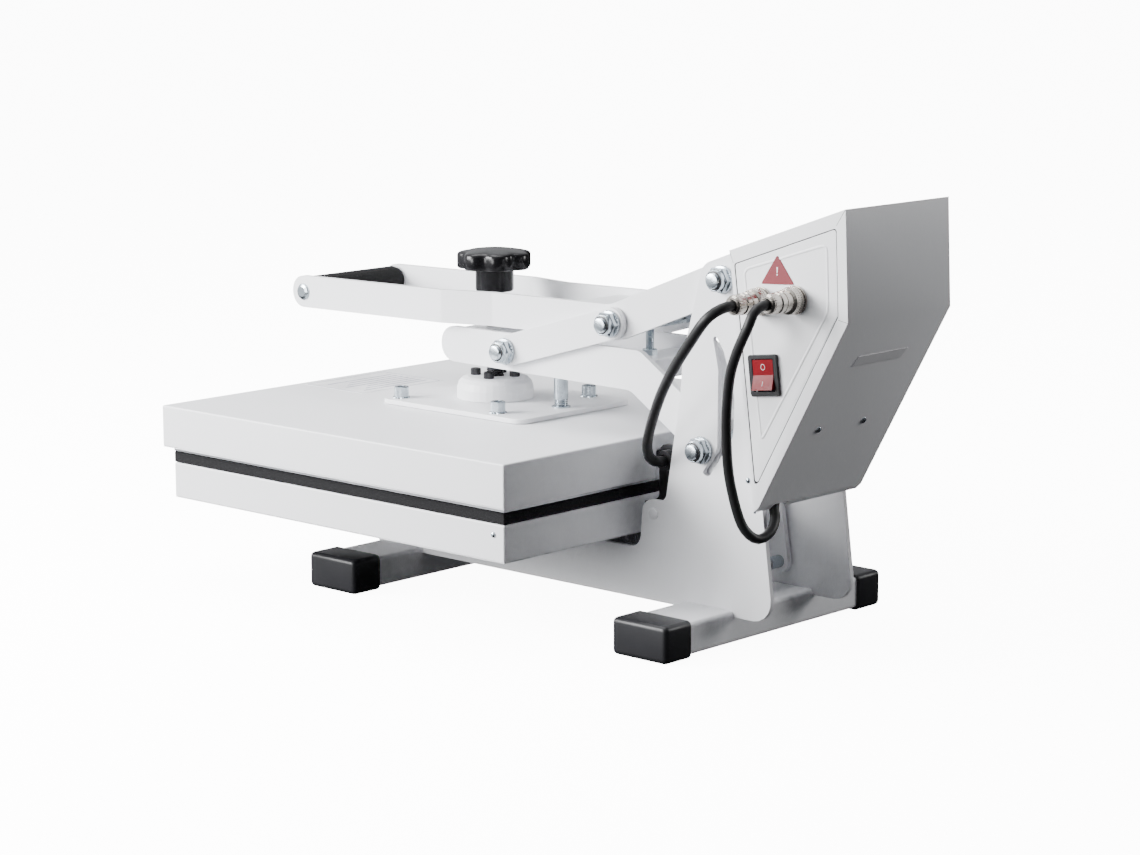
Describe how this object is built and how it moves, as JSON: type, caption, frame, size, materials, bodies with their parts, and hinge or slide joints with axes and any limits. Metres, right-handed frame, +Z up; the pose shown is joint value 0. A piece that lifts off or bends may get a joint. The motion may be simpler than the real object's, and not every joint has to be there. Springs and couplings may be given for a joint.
{
  "type": "heat press",
  "caption": "Clamshell heat press with a flat square heating head over a padded bed, a toggle lever handle, a pressure knob and a rear control box on a low frame.",
  "frame": {"origin": "centre of the footprint (cables and their plugs left out), on the bench under the rubber-grey end caps of the feet", "axes": "+Z up; +Y from the operator towards the control box; +X the side with the cables and the mains switch"},
  "size_m": [0.3926, 0.6076, 0.3414],
  "materials": {
    "white_powder_coat": "white powder coat with a faint grain",
    "black_plastic": "moulded, slightly textured",
    "black_bakelite": "polished",
    "black_foam": "closed-cell foam",
    "silicone_sponge": "fine open grain",
    "cable_rubber": "matt cable jacket",
    "zinc_plate": "bright zinc plate",
    "spring_steel": "drawn wire",
    "black_oxide_steel": "black oxide",
    "nickel": "satin nickel",
    "cast_aluminium": "machined casting",
    "red_rocker": "translucent red",
    "smoked_window": "smoked display window",
    "circuit_board": "solder mask"
  },
  "bodies": {
    "base": {"front_foot_tube": "white_powder_coat", "rear_foot_tube": "white_powder_coat", "end_cap_front_left": "black_plastic", "end_cap_front_right": "black_plastic", "end_cap_rear_left": "black_plastic", "end_cap_rear_right": "black_plastic", "base_plate_left": "white_powder_coat", "base_plate_right": "white_powder_coat", "rear_brace": "white_powder_coat", "platen_support": "white_powder_coat", "lower_platen_tray": "white_powder_coat", "silicone_pad": "silicone_sponge", "spring_anchor_rod": "zinc_plate", "counter_spring_left": "spring_steel", "counter_spring_right": "spring_steel", "lever_pivot_bolt": "zinc_plate", "arm_pivot_bolt": "zinc_plate", "cable_bracket": "black_oxide_steel", "box_shell": "white_powder_coat", "side_panel_left": "white_powder_coat", "side_panel_right": "white_powder_coat", "switch_body": "black_plastic", "power_inlet": "black_plastic", "cable_socket_1": "nickel", "cable_socket_2": "nickel", "cable_plug_1": "nickel", "cable_plug_2": "nickel", "display_window": "smoked_window", "control_board": "circuit_board", "terminal_block": "black_plastic", "heater_cable": "cable_rubber", "sensor_cable": "cable_rubber"},
    "arm": {"arm_plate_left": "white_powder_coat", "arm_plate_right": "white_powder_coat", "arm_crosshead": "white_powder_coat", "stop_bracket": "white_powder_coat", "arm_pivot_sleeve": "zinc_plate", "link_foot_bolt": "zinc_plate", "tail_pin": "zinc_plate"},
    "lever": {"lever_bar_left": "white_powder_coat", "lever_bar_right": "white_powder_coat", "lever_web": "white_powder_coat", "lever_tube": "zinc_plate", "foam_grip": "black_foam", "grip_rod": "zinc_plate"},
    "links": {"link_left": "white_powder_coat", "link_right": "white_powder_coat", "link_stud_left": "zinc_plate", "link_stud_right": "zinc_plate"},
    "head": {"heating_platen": "cast_aluminium", "head_cover": "white_powder_coat", "mount_plate": "white_powder_coat", "screw_hub": "white_powder_coat", "guide_stud": "zinc_plate"},
    "pressure_screw": {"pressure_knob": "black_bakelite", "pressure_spindle": "black_oxide_steel"},
    "power_rocker": {"rocker": "red_rocker"},
    "set_key": {"key_1": "black_plastic"},
    "down_key": {"key_2": "black_plastic"},
    "up_key": {"key_3": "black_plastic"}
  },
  "joints": [
    {"name": "arm_hinge", "type": "hinge", "parent": "base", "child": "arm", "pos_m": [0, 0.1579, 0.1474], "axis": [-1, 0, 0], "range_deg": [0, 40], "deforming": ["counter_spring_left", "counter_spring_right"]},
    {"name": "handle_hinge", "type": "hinge", "parent": "base", "child": "lever", "pos_m": [0, 0.1773, 0.2796], "axis": [-1, 0, 0], "range_deg": [0, 88.83]},
    {"name": "link_hinge", "type": "hinge", "parent": "arm", "child": "links", "pos_m": [0, -0.0485, 0.2025], "axis": [-1, 0, 0], "range_deg": [-59.62, 0]},
    {"name": "head_lift", "type": "slide", "parent": "arm", "child": "head", "axis": [0, 0, 1], "range_m": [0, 0.006]},
    {"name": "knob_turn", "type": "hinge", "parent": "head", "child": "pressure_screw", "pos_m": [0, -0.1095, 0.3], "axis": [0, 0, 1], "range_deg": [0, 1080.01]},
    {"name": "power_switch", "type": "hinge", "parent": "base", "child": "power_rocker", "pos_m": [0.0635, 0.2284, 0.2139], "axis": [0, 0.9921, 0.1253], "range_deg": [0, 20]},
    {"name": "button_1", "type": "slide", "parent": "base", "child": "set_key", "axis": [0, 0.3323, -0.9432], "range_m": [0, 0.0015], "stiffness_N_per_m": 200, "springref_m": -0.001},
    {"name": "button_2", "type": "slide", "parent": "base", "child": "down_key", "axis": [0, 0.3323, -0.9432], "range_m": [0, 0.0015], "stiffness_N_per_m": 200, "springref_m": -0.001},
    {"name": "button_3", "type": "slide", "parent": "base", "child": "up_key", "axis": [0, 0.3323, -0.9432], "range_m": [0, 0.0015], "stiffness_N_per_m": 200, "springref_m": -0.001}
  ],
  "couplings": [
    {"joint": "handle_hinge", "follows": "arm_hinge", "ratio": 2.2206},
    {"joint": "link_hinge", "follows": "arm_hinge", "ratio": -1.4903},
    {"joint": "knob_turn", "follows": "head_lift", "rad_per_m": 3141.6}
  ]
}
